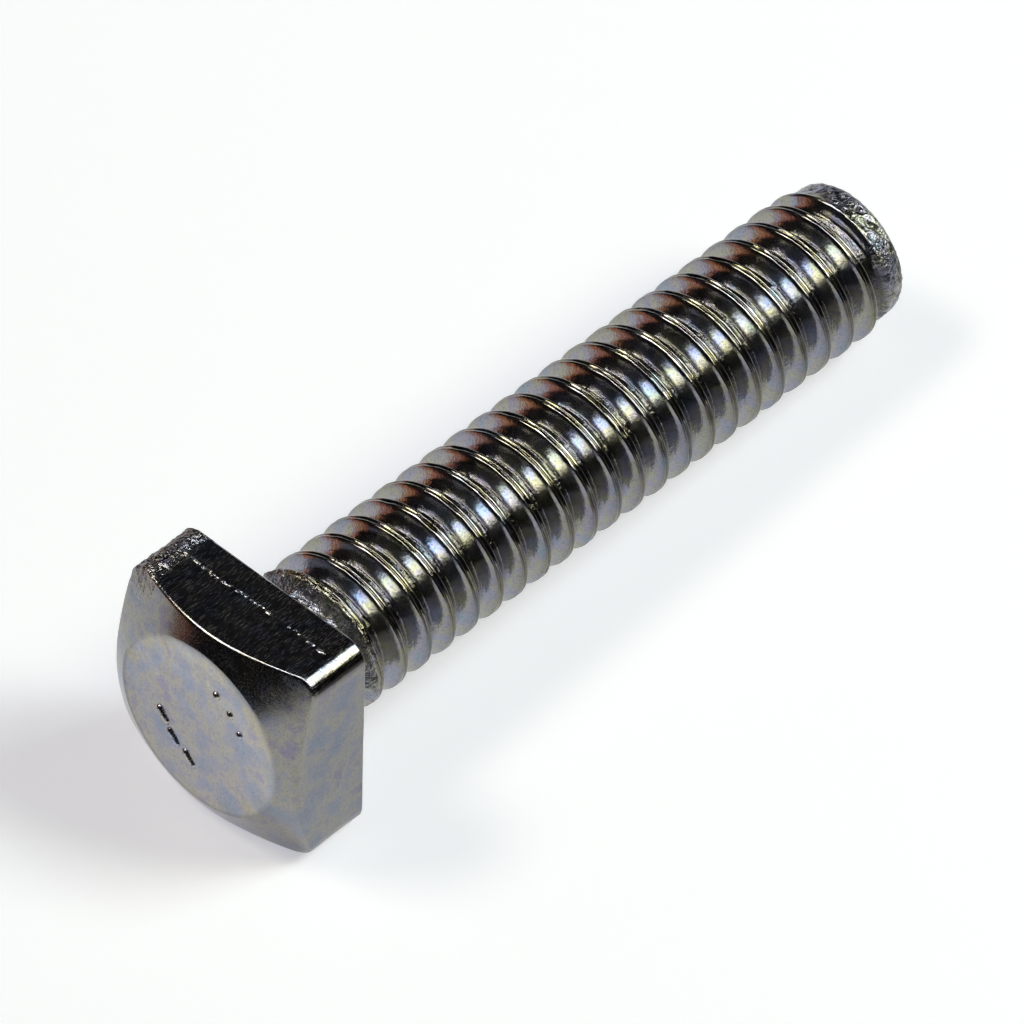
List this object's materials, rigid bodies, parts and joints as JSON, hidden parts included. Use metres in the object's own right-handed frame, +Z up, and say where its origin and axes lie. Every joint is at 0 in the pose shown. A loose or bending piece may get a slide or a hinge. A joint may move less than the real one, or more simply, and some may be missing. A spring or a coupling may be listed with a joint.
{
  "type": "square head battery terminal bolt",
  "caption": "Square-head machine bolt with a chamfered head and a coarse right-hand thread along nearly the whole shank, lying on its side.",
  "frame": {"origin": "centre of the bearing face under the head", "axes": "+X towards the threaded tip, with the bolt's axis sloping down by about 2.9 degrees as the bolt lies at rest; +Y along one pair of head flats' normal; +Z up, away from the surface the bolt lies on"},
  "size_m": [0.0353, 0.0094, 0.0094],
  "materials": {
    "zinc_steel": "satin bright zinc plating over forged and rolled steel"
  },
  "bodies": {
    "root": {"square_head_bolt": "zinc_steel"}
  },
  "joints": []
}
